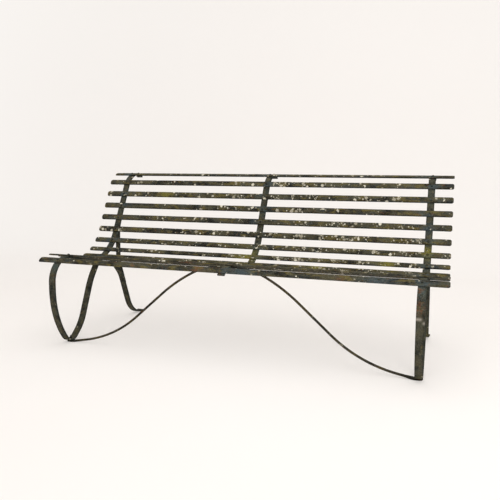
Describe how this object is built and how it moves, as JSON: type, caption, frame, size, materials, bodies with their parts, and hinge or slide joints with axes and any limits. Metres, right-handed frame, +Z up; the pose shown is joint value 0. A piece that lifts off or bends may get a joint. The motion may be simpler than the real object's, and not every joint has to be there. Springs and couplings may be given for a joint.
{
  "type": "garden bench",
  "caption": "Strap iron garden bench: flat slats riveted across bent end straps with looped front legs, an arch to each rear leg, back braces and an arched rod stretcher.",
  "frame": {"origin": "on the ground under the middle of the bench, at the centre of its bounding box seen from above", "axes": "+X along the bench to the right as seen from the front, +Y from the front to the back, +Z up"},
  "size_m": [1.83, 0.845, 0.8116],
  "materials": {
    "strap_paint": "weathered matt paint over iron",
    "slat_paint": "weathered matt paint with lichen",
    "rod_paint": "weathered matt paint over iron",
    "rivet_paint": "weathered matt paint over iron"
  },
  "bodies": {
    "root": {"left_end_strap": "strap_paint", "right_end_strap": "strap_paint", "middle_strap": "strap_paint", "left_front_loop": "strap_paint", "right_front_loop": "strap_paint", "left_rear_leg": "strap_paint", "right_rear_leg": "strap_paint", "left_back_brace": "strap_paint", "right_back_brace": "strap_paint", "back_slat_1": "slat_paint", "back_slat_2": "slat_paint", "back_slat_3": "slat_paint", "back_slat_4": "slat_paint", "back_slat_5": "slat_paint", "back_slat_6": "slat_paint", "back_slat_7": "slat_paint", "back_slat_8": "slat_paint", "back_slat_9": "slat_paint", "seat_slat_1": "slat_paint", "seat_slat_2": "slat_paint", "seat_slat_3": "slat_paint", "seat_slat_4": "slat_paint", "seat_slat_5": "slat_paint", "seat_slat_6": "slat_paint", "left_stretcher_foot": "rod_paint", "right_stretcher_foot": "rod_paint", "left_stretcher_rod": "rod_paint", "right_stretcher_rod": "rod_paint", "stretcher_crown": "rod_paint", "left_slat_rivets": "rivet_paint", "middle_slat_rivets": "rivet_paint", "right_slat_rivets": "rivet_paint", "brace_rivets": "rivet_paint", "foot_rivets": "rivet_paint"}
  },
  "joints": []
}
